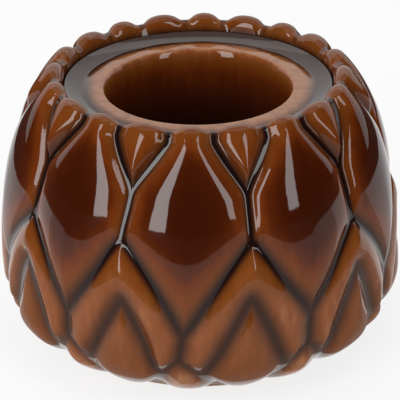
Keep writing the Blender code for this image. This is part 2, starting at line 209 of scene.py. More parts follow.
# The glaze's thickness on the leaves. Heights are in mm. Low on the big leaves it grows slowly, so
# they come out lighter, which paints in the light that the white table throws up.
UPPER_GLAZE, SMALL_LEAF_EXTRA = 2.0 * MM, 2.0 * MM
GROWTH_HEIGHTS, GROWTH_AND_PAINTED_BOUNCE = (0, 30, 48, 62, 68, 71), (0.2, 0.2, 0.9, 1, 0.7, 0.3)
CROWN_HEIGHTS, CROWN_THINNING = (0, 66, 70, 72), 0.6
LOW_GLAZE, LOWER_EXTRA, BASE_THINNER = 0.9 * MM, 1.0 * MM, 0.8 * MM
CREST_WIDTH, CREST_THINNER = 3.5 * MM, 0.45
CHEVRON_HEIGHTS, CHEVRON_EXTRA = (0, 28, 42, 72), 1.4 * MM
EASE_POINTS, EASE_REACH = 601, 60


def eased(value, places, levels):
    """Levels between marks, as np.interp gives, but with rounded corners at the marks."""
    fine = np.linspace(places[0], places[-1], EASE_POINTS)
    line = np.interp(fine, places, levels)
    line = np.pad(line, EASE_REACH, mode="reflect", reflect_type="odd")
    window = np.hanning(2 * EASE_REACH + 1)
    return np.interp(value, fine, np.convolve(line, window / window.sum(), "valid"))


def distance_to(edge, angle, run, radius):
    """Distance on the surface from each point to an edge or to its mirror images."""
    nearest = np.full(angle.shape, np.inf)
    for side in (edge[:, 0], -edge[:, 0], 2 * HALF_LEAF - edge[:, 0]):
        across = radius[..., None] * (angle[..., None] - side)
        along = run[..., None] - edge[:, 1]
        nearest = np.minimum(nearest, np.hypot(across, along).min(axis=-1))
    return nearest


def groove_depth(run):
    """Depth of the grooves along the outline. They run out inside the crown, at the ledge."""
    roll_length = RUN[ROLL_END] - RUN[ROLL_START]
    marks = (
        (0.0, BASE_GROOVE),
        (run_at(LOWER_GROOVE_HEIGHT), LOWER_GROOVE),
        (run_at(LOWER_TIP), CHEVRON_GROOVE),
        (run_at(CROWN_TOP - WIDEST_DROP), UPPER_GROOVE),
        (RUN[ROLL_START], CROWN_GROOVE),
        (RUN[ROLL_START] + ROLL_MIDDLE * roll_length, MIDDLE_SHARE * CROWN_GROOVE),
        (RUN[ROLL_END], END_SHARE * CROWN_GROOVE),
        (RUN[-1], 0.0),
    )
    return np.maximum(eased(run, *zip(*marks)), 0)


def inside_leaves(angle, height):
    """Whether a point lies on a big leaf, and inside the chevron, lower and base arches."""
    return (
        angle < upper_leaf_width(height),
        HALF_LEAF - angle < arch_width(height, CHEVRON_TIP, CHEVRON_DROP),
        HALF_LEAF - angle < arch_width(height, LOWER_TIP, LOWER_DROP),
        angle < arch_width(height, BASE_TIP, BASE_DROP),
    )


def leaf_body(angle, run, height, distances, over):
    """Depth of the leaves' own curves under the outline, before the grooves are cut."""
    upper, chevron, lower, base = distances
    # Big and small upper leaves arch from their middle line, 0, to their edge, 1.
    width = upper_leaf_width(height)
    between = np.maximum(HALF_LEAF - width, 1e-6)
    across = np.where(angle < width, angle / width, (HALF_LEAF - angle) / between)
    power = eased(height, RIDGE_HEIGHTS, RIDGE_POWERS)
    arch_share = eased(height, ARCH_HEIGHTS, ARCH_SHARES)
    body = arch_share * groove_depth(run) * np.clip(across, 0, 1) ** power
    small = (angle >= width) * (1 - np.exp(-upper / (UNDER_EDGES[0] * MM)))
    below_crown = np.clip((CROWN_TOP - height) / WIDEST_DROP, 0, 1)
    body = body + SMALL_LEAF_RECESS * small * below_crown
    # Chevrons are bands, rounded from their upper edge, -1, to their lower one, 1.
    band = 2 * chevron / (chevron + lower + 1e-6) - 1
    dome = np.where(band < 0, CHEVRON_DOMES[0], CHEVRON_DOMES[1]) * band**2
    body = np.where(over[1], dome, body)
    for distance, inside in ((lower, over[2]), (base, over[3])):
        dome = SMALL_DOME * (1 - np.clip(distance / SMALL_DOME_REACH, 0, 1)) ** 2
        body = np.where(inside, dome, body)
    return body


def glaze_and_painted_light(height, distances, over):
    """Thinnest on the crests of the low leaves, more on the chevrons' tips and the crown, and
    thickest amid the big leaves. Low on the big leaves it grows slowly, which paints in light
    from the table.
    """
    nearest = np.minimum.reduce(distances)
    # Painted light: slow growth low on the big leaves makes them lighter, standing in for light
    # from the table.
    growth_and_bounce = eased(height / MM, GROWTH_HEIGHTS, GROWTH_AND_PAINTED_BOUNCE)
    small = np.minimum(nearest, SMALL_LEAF_EXTRA)
    upper = UPPER_GLAZE + np.where(over[0], nearest * growth_and_bounce, small)
    upper = upper * eased(height / MM, CROWN_HEIGHTS, (1, 1, CROWN_THINNING, CROWN_THINNING))
    lower = over[2] * LOWER_EXTRA * (1 - np.exp(-nearest / MM))
    low = LOW_GLAZE + CREST_THINNER * np.maximum(CREST_WIDTH - nearest, 0) + lower
    low = low + CHEVRON_EXTRA * eased(height / MM, CHEVRON_HEIGHTS, (0, 0, 1, 1))
    low = low - BASE_THINNER * over[3]
    return np.where(over[1] | over[2] | over[3], low, upper)


def relief(angle, run):
    """Depth under the outline, how thick the glaze lies, and how far it pools, with painted shade
    in the corner at the ledge.
    """
    radius = np.interp(run, RUN, OUTLINE[:, 0])
    height = np.interp(run, RUN, np.maximum.accumulate(OUTLINE[:, 1]))
    distances = [distance_to(edge, angle, run, radius) for edge in EDGES]
    over = inside_leaves(angle, height)
    body = leaf_body(angle, run, height, distances, over)
    groove = groove_depth(run)
    soft = eased(height, (0, SOFT_BELOW, CRISP_ABOVE, CROWN_TOP), (1, 1, 0, 0))
    inner = eased(run, (0, RUN[ROLL_START], RUN[ROLL_END], RUN[-1]), (0, 0, 1, 1))
    cut, pool_and_shade = 0, 0
    for k, (distance, is_over) in enumerate(zip(distances, over)):
        rounded = np.hypot(distance, GROOVE_ROUND) - GROOVE_ROUND
        reach = np.where(is_over, OVER_EDGES[k], UNDER_EDGES[k]) * MM
        power = np.where(is_over, OVER_POWERS[k], UNDER_POWERS[k])
        fall = np.exp(-((rounded / reach) ** power))
        # Adding cubes, and taking the cube root later, joins grooves smoothly where they meet.
        cut = cut + (np.maximum(DEPTH_SHARES[k] * groove - body, 0) * fall) ** 3
        reach = np.where(is_over, OVER_POOLS[k], UNDER_POOLS[k]) * MM
        filled = POOL_SHARES[k] * np.clip(groove / CHEVRON_GROOVE, 0, 1)
        if k < 2:  # the edges of big leaves and chevrons, softer and paler lower down
            reach, filled = reach * (1 + SOFTER * soft), filled * (1 - PALER * soft)
        if k == 0:  # the edges of big leaves go on over the crown, as narrow lines inside it
            reach = reach * (1 - INNER_NARROWER * inner)
            filled = np.maximum(filled, INNER_POOL * inner)
        sharp = np.where(is_over, OVER_SHARPNESS - soft, UNDER_SHARPNESS)
        pool_and_shade = np.maximum(pool_and_shade, filled * np.exp(-((distance / reach) ** sharp)))
    # Glaze also pools in the corner at the ledge, and this darkening also paints the shade there.
    corner = np.exp(-(((RUN[-1] - run) / CORNER_POOL_AND_SHADE) ** 2))
    # A soft minimum stops the depth at the level of the glaze.
    full = (body + np.cbrt(cut)) / np.maximum(groove, 1e-9)
    dry, wet = np.logaddexp(0, -POOL_LEVEL / POOL_BEND), -POOL_LEVEL / POOL_BEND
    depth = groove * POOL_BEND * (dry - np.logaddexp(-full / POOL_BEND, wet))
    return depth, glaze_and_painted_light(height, distances, over), np.maximum(pool_and_shade, corner)


# %% [markdown]
# ## A grid that follows the edges
# A regular grid would step across the slanting grooves like stairs, and waste points on the
# smooth middles. Here the columns of each row crowd towards the leaf edges that cross it, so
# they run along with the grooves. Each square is then cut along the diagonal that lies closer
# to the relief.

# %% Grid over half a sector
COLUMNS, WALL_ROWS, ROLL_ROWS, INSIDE_ROWS = 27, 140, 20, 8
CROWDING, CROWD_REACH, CROWD_FADE = 2.2, math.radians(1.8), 4.0 * MM
FINE_ANGLES = 401


def half_sector_grid():
    """Angles and distances of the grid points, row by row."""
    run = np.concatenate(
        [
            np.linspace(0, RUN[ROLL_START], WALL_ROWS + 1),
            np.linspace(RUN[ROLL_START], RUN[ROLL_END], ROLL_ROWS + 1)[1:],
            np.linspace(RUN[ROLL_END], RUN[-1], INSIDE_ROWS + 1)[1:],
        ]
    )
    fine = np.linspace(0, HALF_LEAF, FINE_ANGLES)
    density = np.ones((len(run), len(fine)))
    for edge in EDGES:
        line = edge[np.argsort(edge[:, 1])]
        crossing = np.interp(run, line[:, 1], line[:, 0])
        outside = np.maximum(line[0, 1] - run, 0) + np.maximum(run - line[-1, 1], 0)
        weight = CROWDING * np.clip(1 - outside / CROWD_FADE, 0, 1)
        near = np.exp(-(((fine - crossing[:, None]) / CROWD_REACH) ** 2))
        density = np.maximum(density, 1 + weight[:, None] * near)
    steps = (density[:, 1:] + density[:, :-1]) / 2
    total = np.cumsum(np.pad(steps, ((0, 0), (1, 0))), axis=1)
    share = np.linspace(0, 1, COLUMNS + 1)
    angle = np.array([np.interp(share * row[-1], row, fine) for row in total])
    return angle, np.tile(run[:, None], (1, COLUMNS + 1))


def better_diagonals(angle, run, depth):
    """For each square, whether the diagonal that falls to the left fits the relief better."""
    corners = angle[1:, 1:] + angle[:-1, :-1] + angle[1:, :-1] + angle[:-1, 1:]
    middle = relief(corners / 4, (run[1:, 1:] + run[:-1, :-1]) / 2)[0]
    rising = np.abs((depth[:-1, :-1] + depth[1:, 1:]) / 2 - middle)
    falling = np.abs((depth[:-1, 1:] + depth[1:, :-1]) / 2 - middle)
    return falling < rising


grid_angle, grid_run = half_sector_grid()
grid_depth = relief(grid_angle, grid_run)[0]
grid_falls = better_diagonals(grid_angle, grid_run, grid_depth)
print("grid rows and columns:", grid_angle.shape, "deepest mm:", round(grid_depth.max() / MM, 2))

# %% [markdown]
# ## The hand of the modeller
# The master model was carved by hand, so no two leaves end at quite the same height. A few
# soft pushes, each centred on a leaf tip, move the finished surface up and sideways by a
# millimetre or so. The leaves also lean slightly to one side, like a twisted bud. The
# smoothness of a glaze can't be had from facets, so each point also gets its exact normal,
# measured on the formula a tenth of a millimetre to all sides.

# %% Pushes at the leaf tips
PUSH_REACH, PUSH_FADE, MOST_LIFT = 6.0 * MM, 8.0 * MM, 1.2
# Turn from the front in degrees, height, lift and sideways shift in mm.
SEEN_PUSHES = (
    (-18, 45, 0.5, -1.2), (18, 45, 0.5, 0.3), (-54, 45, -1.4, 0), (54, 45, -1.2, 0),
    (0, 24, -1.2, -0.3), (36, 24, 1.3, 0), (-18, 31, -1.0, 0), (0, 14, 0, -1.6),
)
BACK_HEIGHTS, SEED = (45, 31), 5
back_lifts = np.random.default_rng(SEED).uniform(-MOST_LIFT, MOST_LIFT, (2, LEAF_COUNT))
BACK_PUSHES = [
    (turn, height, lift, lift / 2)
    for height, row in zip(BACK_HEIGHTS, back_lifts)
    for turn, lift in zip(np.arange(18, 360, 36), row)
    if 90 < turn < 270
]
INSET, NORMAL_STEP = 0.3 * MM, 0.1 * MM


def push(turn, height):
    """How far the modeller's hand moved the surface up the outline and to the side."""
    lifted, shifted = np.zeros_like(turn), np.zeros_like(turn)
    for tip_turn, tip_height, lift, shift in (*SEEN_PUSHES, *BACK_PUSHES):
        across = np.remainder(turn - math.radians(tip_turn) + math.pi, 2 * math.pi) - math.pi
        away = (across * BELLY_RADIUS) ** 2 + (height - tip_height * MM) ** 2
        near = np.exp(-away / (2 * PUSH_REACH**2)) * MM
        lifted, shifted = lifted + lift * near, shifted + shift * near
    return lifted, shifted


def lean_at(height):
    """Turn of the leaves at a height. They stand straight at the crown."""
    return LEAN * (CROWN_TOP - height) / CROWN_TOP


def on_outline(run, column):
    """One coordinate of the outline at distances along it."""
    return np.interp(run, RUN, OUTLINE[:, column])


def surface(turn, run, depth):
    """Points of the leafy surface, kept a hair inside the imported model's box."""
    fade = np.clip(run / PUSH_FADE, 0, 1) * np.clip((RUN[ROLL_START] - run) / PUSH_FADE, 0, 1)
    lifted, shifted = push(turn, on_outline(run, 1))
    run, turn = run + fade * lifted, turn + fade * shifted / BELLY_RADIUS
    radius = on_outline(run, 0) - (depth + INSET) * np.interp(run, RUN, NORMALS[:, 0])
    height = on_outline(run, 1) - (depth + INSET) * np.interp(run, RUN, NORMALS[:, 1])
    angle = turn - math.pi / 2 + lean_at(on_outline(run, 1))
    return np.stack([radius * np.cos(angle), radius * np.sin(angle), height], axis=-1)


def leafy_rings(turn_step=0.0, run_step=0.0):
    """Points of the leafy surface as rings, with how thick the glaze lies and how far it pools,
    which also carry painted light and shade.
    """
    offsets = np.arange(-COLUMNS, COLUMNS)
    turn = np.sign(offsets) * grid_angle[:, np.abs(offsets)] + turn_step
    run = np.clip(grid_run[:, np.abs(offsets)] + run_step, 0, RUN[-1])
    folded = np.abs(np.remainder(turn + HALF_LEAF, 2 * HALF_LEAF) - HALF_LEAF)
    found = relief(folded, run)
    run, depth, glaze, pool_and_shade = (np.tile(values, LEAF_COUNT) for values in (run, *found))
    sectors = np.arange(LEAF_COUNT)[:, None] * 2 * HALF_LEAF
    turn = (turn[:, None] + sectors).reshape(run.shape)
    return surface(turn, run, depth), glaze, pool_and_shade


def leafy_normals():
    """Unit normals of the leafy surface, from points a small step to each side."""
    turn_step = NORMAL_STEP / BELLY_RADIUS
    across = leafy_rings(turn_step=turn_step)[0] - leafy_rings(turn_step=-turn_step)[0]
    along = leafy_rings(run_step=NORMAL_STEP)[0] - leafy_rings(run_step=-NORMAL_STEP)[0]
    normals = np.cross(across, along)
    return normals / np.linalg.norm(normals, axis=-1, keepdims=True)


leaf_points, leaf_glaze_and_light, leaf_pool_and_shade = leafy_rings()
leaf_normals = leafy_normals()
print("points on the leaves:", leaf_points.shape[0] * leaf_points.shape[1])

# %% [markdown]
# ## From rings to a closed skin
# A pot is a stack of rings. Neighbouring rings are joined with quads, or with fans where one
# ring has fewer points than the other, as on the plain underside. The result is one closed
# body, as a real wall of clay is.

# %% Helpers that join rings
SHARP_ANGLE, SHARP_RIM = math.radians(60), math.radians(40)


def ring(radius, height, count):
    """Points of a level circle that starts half a leaf beside the front leaf."""
    angle = np.arange(count) * 2 * math.pi / count - math.pi / 2 - HALF_LEAF + lean_at(height)
    return np.stack([radius * np.cos(angle), radius * np.sin(angle), np.full(count, height)], 1)


def faces_between(first, second, start_first, start_second, falls=None):
    """Faces between two rings, given as how many points they have and their first index."""
    if first < second:
        return faces_between(second, first, start_second, start_first)
    faces = []
    step = first // second
    for i in range(first):
        here, beside = start_first + i, start_first + (i + 1) % first
        under, under_beside = (start_second + (i // step + k) % second for k in (0, 1))
        if (i + 1) % step:
            faces.append((here, beside, under))
        elif step == 1 and falls is None:
            faces.append((here, beside, under_beside, under))
        elif falls is None or falls[i]:
            faces += [(here, beside, under), (beside, under_beside, under)]
        else:
            faces += [(here, beside, under_beside), (here, under_beside, under)]
    return faces


def skin(name, rings, falls=(), closed=False):
    """A closed body through the rings: joined end to start, or else capped at both ends.

    It returns the object and the number of the ring that each face starts from.
    """
    starts = np.concatenate([[0], np.cumsum([len(points) for points in rings])])
    faces, numbers = [], []
    for k in range(len(rings) if closed else len(rings) - 1):
        after = (k + 1) % len(rings)
        cut = falls[k] if k < len(falls) else None
        made = faces_between(len(rings[k]), len(rings[after]), starts[k], starts[after], cut)
        faces += made
        numbers += [k] * len(made)
    if not closed:
        faces += [list(range(starts[0], starts[1])), list(range(starts[-2], starts[-1]))]
        numbers += [0, len(rings) - 1]
    mesh = bpy.data.meshes.new(name)
    mesh.from_pydata(np.concatenate(rings).tolist(), [], faces)
    bm = bmesh.new()
    bm.from_mesh(mesh)
    bmesh.ops.recalc_face_normals(bm, faces=bm.faces)
    bm.to_mesh(mesh)
    bm.free()
    mesh.shade_smooth()
    mesh.set_sharp_from_angle(angle=SHARP_ANGLE)
    obj = bpy.data.objects.new(name, mesh)
    bpy.context.scene.collection.objects.link(obj)
    return obj, np.array(numbers)


def set_glaze(obj, thickness_and_light, pool_and_shade):
    """Stores what the glaze material reads at each point: how thick the glaze lies, on the
    scale of its colour ramp, and how far it pools, from 0 to 1. Both values also carry painted
    light and shade: lighter low on the big leaves, darker deep in the cup and in the corner at
    the ledge.
    """
    for name, values in (("glaze_and_painted_light", thickness_and_light / MM), ("pool_and_shade", pool_and_shade)):
        layer = obj.data.attributes.new(name, "FLOAT", "POINT")
        layer.data.foreach_set("value", np.asarray(values, np.float32))


# %% [markdown]
# ## The leaf shell
# The outer casting: the leafy wall, the crown, the shelf under the ledge, the hollow inside,
# and a base with a small firing vent inside the foot ring. Only what shows gets many points.

# %% Build the leaf shell
FOOT_OUTER, FOOT_INNER, FOOT_BOTTOM = 35.6 * MM, 27.1 * MM, 1.5 * MM
SHELF_HEIGHT, SHELF_THICKNESS, SHELF_INNER = 60.7 * MM, 4.5 * MM, 26.5 * MM
WALL_INSET = 8.2 * MM
BASE_UNDERSIDE, BASE_INSIDE, VENT_RADIUS = 3.0 * MM, 7.5 * MM, 1.5 * MM
FOOT_ROUND, HOLLOW_RINGS, PLAIN_GLAZE = 0.5 * MM, 17, 2 * MM

around = leaf_points.shape[1]
fewer, fewest = around // 4, around // 20
quarter_turn = np.linspace(0, math.pi / 2, 5)
foot_corner = [
    ring(
        FOOT_OUTER - FOOT_ROUND * (1 - math.sin(turn)),
        FOOT_BOTTOM + FOOT_ROUND * (1 - math.cos(turn)),
        around,
    )
    for turn in quarter_turn
]
hollow = [
    ring(body_radius(z) - WALL_INSET, z, fewer)
    for z in np.linspace(SHELF_HEIGHT - SHELF_THICKNESS, BASE_INSIDE, HOLLOW_RINGS)
]
plain_rings = [
    ring(CROWN_INNER_RADIUS, SHELF_HEIGHT, around),
    ring(SHELF_INNER, SHELF_HEIGHT, fewer),
    ring(SHELF_INNER, SHELF_HEIGHT - SHELF_THICKNESS, fewer),
    *hollow,
    ring(VENT_RADIUS, BASE_INSIDE, fewest),
    ring(VENT_RADIUS, BASE_UNDERSIDE, fewest),
    ring(FOOT_INNER, BASE_UNDERSIDE, fewer),
    ring(FOOT_INNER, FOOT_BOTTOM, fewer),
]
leafy_falls = [np.tile(np.concatenate([~row[::-1], row]), LEAF_COUNT) for row in grid_falls]
shell_rings = [*foot_corner, *leaf_points, *plain_rings]
cuts = [None] * len(foot_corner) + leafy_falls
shell, shell_numbers = skin("glazed_leaf_shell", shell_rings, cuts, closed=True)
plain_counts = (around * len(foot_corner), sum(len(points) for points in plain_rings))
set_glaze(
    shell,
    np.pad(leaf_glaze_and_light.ravel(), plain_counts, constant_values=PLAIN_GLAZE),
    np.pad(leaf_pool_and_shade.ravel(), plain_counts),
)
# A normal of zero leaves a plain point to the usual smooth shading.
exact = np.pad(leaf_normals.reshape(-1, 3), (plain_counts, (0, 0)))
shell.data.normals_split_custom_set_from_vertices(exact.tolist())
is_bare = (shell_numbers < len(foot_corner) - 1) | (
    shell_numbers >= len(foot_corner) + len(leaf_points)
)
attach(shell, "root")
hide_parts("leaf_shell")
print("leaf shell faces:", len(shell.data.polygons), "unglazed:", int(is_bare.sum()))

# %% [markdown]
# ## The candle cup
# The inner casting is turned, not carved: a round cup with a soft floor corner, a rolled lip,
# and a ledge that runs out to the crown. Lathe work in Blender is a profile turned about an
# axis, which is again a stack of rings. The glaze is thin on the lip and pools on the ledge
# against the crown, so the cup gets the same two values, set by radius and depth. Deeper in
# the cup both values grow towards the dark end, which paints the shade inside it.

# %% Build the candle cup
MOUTH_RADIUS, CUP_TAPER, CUP_OUTER = 22.0 * MM, 0.7 * MM, 26.2 * MM
CUP_FLOOR, CUP_BOTTOM, FLOOR_ROUND = 20.5 * MM, 16.0 * MM, 4.0 * MM
LIP_WIDTH, LIP_HEIGHT, LIP_DROP = 1.4 * MM, 4.0 * MM, 0.4 * MM
VALLEY_SHARE, VALLEY_DROP, POOL_RISE, POOL_CURVE = 0.55, 0.7 * MM, 0.6 * MM, 0.4
ROLL_SHARE, ROLL_DROP = 0.3, 0.02 * MM
SEAM, FLANGE_BOTTOM, CORNER_CUT = 0.02 * MM, 61.0 * MM, 0.3
FLANGE_RADIUS = CROWN_INNER_RADIUS - SEAM
CUP_COLUMNS = 192
# The cup's glaze, all in mm: its thickness by the depth under the ledge, thin on the lip and
# then growing, which paints shade deeper in the cup; where it pools, by the radius on the
# ledge; and by the depth inside, which is painted shade too.
CUP_DEPTHS, CUP_GLAZE_AND_SHADE = (0.4, 2, 6, 16, 30), (0.1, 2.0, 5.4, 7.8, 10.0)
LEDGE_POOL_RADII, INSIDE_SHADE_DEPTHS, FULLEST_POOL_AND_SHADE = (25.5, 28.0), (7, 28), 0.92


def smooth_path(points, count):
    """A smooth curve through a few points (Catmull-Rom), with count steps between each two."""
    p = np.array(points)
    p = np.array([2 * p[0] - p[1], *p, 2 * p[-1] - p[-2]])
    path = []
    for k in range(1, len(p) - 2):
        for t in np.linspace(0, 1, count, endpoint=False):
            path.append(
                0.5
                * (
                    2 * p[k]
                    + (p[k + 1] - p[k - 1]) * t
                    + (2 * p[k - 1] - 5 * p[k] + 4 * p[k + 1] - p[k + 2]) * t**2
                    + (3 * p[k] - p[k - 1] - 3 * p[k + 1] + p[k + 2]) * t**3
                )
            )
    return [*path, p[-2]]


def cup_profile():
    """Half section of the cup: floor, wall, lip, ledge, flange, outside, underside."""
    floor_radius = MOUTH_RADIUS - CUP_TAPER
    floor = [
        (
            floor_radius - FLOOR_ROUND * (1 - math.sin(turn)),
            CUP_FLOOR + FLOOR_ROUND * (1 - math.cos(turn)),
        )
        for turn in np.linspace(0, math.pi / 2, 9)
    ]
    lip_top = LEDGE_HEIGHT - LIP_DROP
    lip_bottom = lip_top - LIP_HEIGHT
    wall = [
        (floor_radius + CUP_TAPER * share, floor[-1][1] + (lip_bottom - floor[-1][1]) * share)
        for share in np.linspace(0, 1, 20)[1:-1]
    ]
    crest = MOUTH_RADIUS + LIP_WIDTH
    lip = [
        (crest - LIP_WIDTH * math.cos(turn), lip_bottom + LIP_HEIGHT * math.sin(turn))
        for turn in np.linspace(0, math.pi / 2, 17)
    ]
    width = FLANGE_RADIUS - crest
    valley = (crest + VALLEY_SHARE * width, LEDGE_HEIGHT - VALLEY_DROP)
    on_roll = (crest + ROLL_SHARE * width, lip_top - ROLL_DROP)
    roll = smooth_path([lip[-1], on_roll, valley], 8)
    pool = [
        (
            valley[0] + (FLANGE_RADIUS - valley[0]) * share,
            valley[1]
            + (POOL_RISE + VALLEY_DROP) * (share + POOL_CURVE * share**3) / (1 + POOL_CURVE),
        )
        for share in np.linspace(0, 1, 13)
    ]
    ledge = [*roll, *pool[1:]]
    base_radius = CUP_OUTER - CUP_TAPER
    outside = [
        (FLANGE_RADIUS, FLANGE_BOTTOM),
        (CUP_OUTER, FLANGE_BOTTOM),
        (base_radius, CUP_BOTTOM + FLOOR_ROUND),
        (base_radius - CORNER_CUT * FLOOR_ROUND, CUP_BOTTOM + CORNER_CUT * FLOOR_ROUND),
        (base_radius - FLOOR_ROUND, CUP_BOTTOM),
    ]
    return floor + wall + lip + ledge[1:] + outside


profile = np.array(cup_profile())
cup, _ = skin("glazed_candle_cup", [ring(r, z, CUP_COLUMNS) for r, z in profile])
under_ledge = (LEDGE_HEIGHT - profile[:, 1]) / MM
# Thin glaze on the lip. Below it the ramp darkens with depth, as painted shade inside the cup.
cup_glaze_and_shade = np.interp(under_ledge, CUP_DEPTHS, CUP_GLAZE_AND_SHADE) * MM
# Three waves round the ledge, in mm, make the border of its pool uneven.
turns = np.arange(CUP_COLUMNS) * 2 * math.pi / CUP_COLUMNS - math.pi / 2
uneven = 0.2 * np.sin(5 * turns + 2) + 0.15 * np.sin(9 * turns) - 0.5 * np.cos(turns)
radii = profile[:, :1] / MM + uneven
on_ledge = np.interp(radii, LEDGE_POOL_RADII, (0, FULLEST_POOL_AND_SHADE))
# Painted shade: the cup's inside darkens towards its floor through the pool colour.
inside = np.interp(under_ledge, INSIDE_SHADE_DEPTHS, (0, FULLEST_POOL_AND_SHADE))
cup_pool_and_shade = np.maximum(on_ledge, inside[:, None])
set_glaze(cup, np.repeat(cup_glaze_and_shade, CUP_COLUMNS), cup_pool_and_shade.ravel())
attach(cup, "root")
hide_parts("candle_cup")
print("cup profile points:", len(profile), "faces:", len(cup.data.polygons))

# %% [markdown]
# ## Felt pads
# Punched felt dots keep a rough foot off the table. Each one is a disc with a slightly soft
# rim, where the punch pressed the fibres down.

# %% Build the felt pads
PAD_RIM, PAD_SIDES = 0.25 * MM, 48
pads = []
for number in range(1, 5):
    node = f"felt_pad_{number}"
    low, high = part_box(node)
    middle = (low + high) / 2
    bm = bmesh.new()
    bmesh.ops.create_cone(
        bm,
        cap_ends=True,
        segments=PAD_SIDES,
        radius1=(high.x - low.x) / 2,
        radius2=(high.x - low.x) / 2,
        depth=high.z - low.z,
    )
    rims = [edge for edge in bm.edges if abs(edge.verts[0].co.z - edge.verts[1].co.z) < 1e-6]
    bmesh.ops.bevel(bm, geom=rims, offset=PAD_RIM, segments=3, affect="EDGES", profile=0.5)
    bmesh.ops.translate(bm, verts=bm.verts, vec=middle)
    mesh = bpy.data.meshes.new(f"punched_{node}")
    bm.to_mesh(mesh)
    bm.free()
    mesh.shade_smooth()
    mesh.set_sharp_from_angle(angle=SHARP_RIM)
    pad = bpy.data.objects.new(mesh.name, mesh)
    bpy.context.scene.collection.objects.link(pad)
    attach(pad, "root")
    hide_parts(node)
    pads.append(pad)
print("pads:", len(pads), "across in mm:", round((high.x - low.x) / MM, 2))

# %% [markdown]
# ## Working with colour and nodes
# Colours are written as sRGB hex values, as a colour picker shows them. Blender's sockets want
# linear values, so one function turns them round. A second small function adds a node with its
# settings and links, which keeps each material to a few readable lines.

# %% Colour and node helpers


def linear(hex_colour):
    """Linear RGBA from an sRGB hex value, by the curve of the sRGB standard."""
    parts = [int(hex_colour[k : k + 2], 16) / 255 for k in (1, 3, 5)]
    return (*(c / 12.92 if c <= 0.04045 else ((c + 0.055) / 1.055) ** 2.4 for c in parts), 1.0)


def add(tree, kind, inputs=None, **settings):
    """Adds a node. Inputs are values or other nodes' outputs, by socket name or number."""
    node = tree.nodes.new("ShaderNode" + kind)
    for name, value in settings.items():
        setattr(node, name, value)
    for name, value in (inputs or {}).items():
        if isinstance(value, bpy.types.NodeSocket):
            tree.links.new(value, node.inputs[name])
        else:
            node.inputs[name].default_value = value
    return node


def new_material(name):
    """An empty node material and its output node."""
    material = bpy.data.materials.new(name)
    material.use_nodes = True
    material.node_tree.nodes.clear()
    return material, add(material.node_tree, "OutputMaterial")


print("amber in linear:", [round(c, 3) for c in linear("#8a4912")])

# %% [markdown]
# ## Amber glaze
# The glaze is a lead-free transparent glass stained with iron, dipped and fired to about
# 1050 degrees on a buff body. It is clear, so its colour comes from its thickness: on the
# lip the clay nearly shows, on the low leaves it is amber, amid the big leaves a dark
# red-brown, and in the grooves it pools to a blue-black. A ramp over the thickness gives the
# first three, and a mix gives the pools. The same ramp and mix also paint light and shade:
# the lower big leaves lighter with light from the table, the cup's inside darker towards its
# floor, and the corner at the ledge darker. Slow noise wanders the thickness, as runs in the
# glaze do. Its surface is molten glass: IOR 1.45 and nearly no roughness, with a faint
# orange-peel ripple about 3 mm wide.

# %% Amber glaze material
GLAZE_STOPS = (
    (0.0, "#9a6440"),
    (0.9, "#7e4625"),
    (1.8, "#713d19"),
    (2.4, "#6c3914"),
    (3.4, "#683310"),
    (4.6, "#602a0c"),
    (6.2, "#4c1e07"),
    (8.0, "#3e1605"),
    (10.0, "#391305"),
    (13.0, "#341104"),
)
# The colour of glaze pools, also used as the painted shade deep in the cup.
POOL_AND_SHADE_COLOUR = "#150b0c"
RAMP_END = GLAZE_STOPS[-1][0]
RUN_WIDTH, RUN_LENGTH, RUN_SWING = 2.5 * MM, 9.0 * MM, 0.6
PEEL_WIDTH, PEEL_HEIGHT = 3.0 * MM, 0.03 * MM


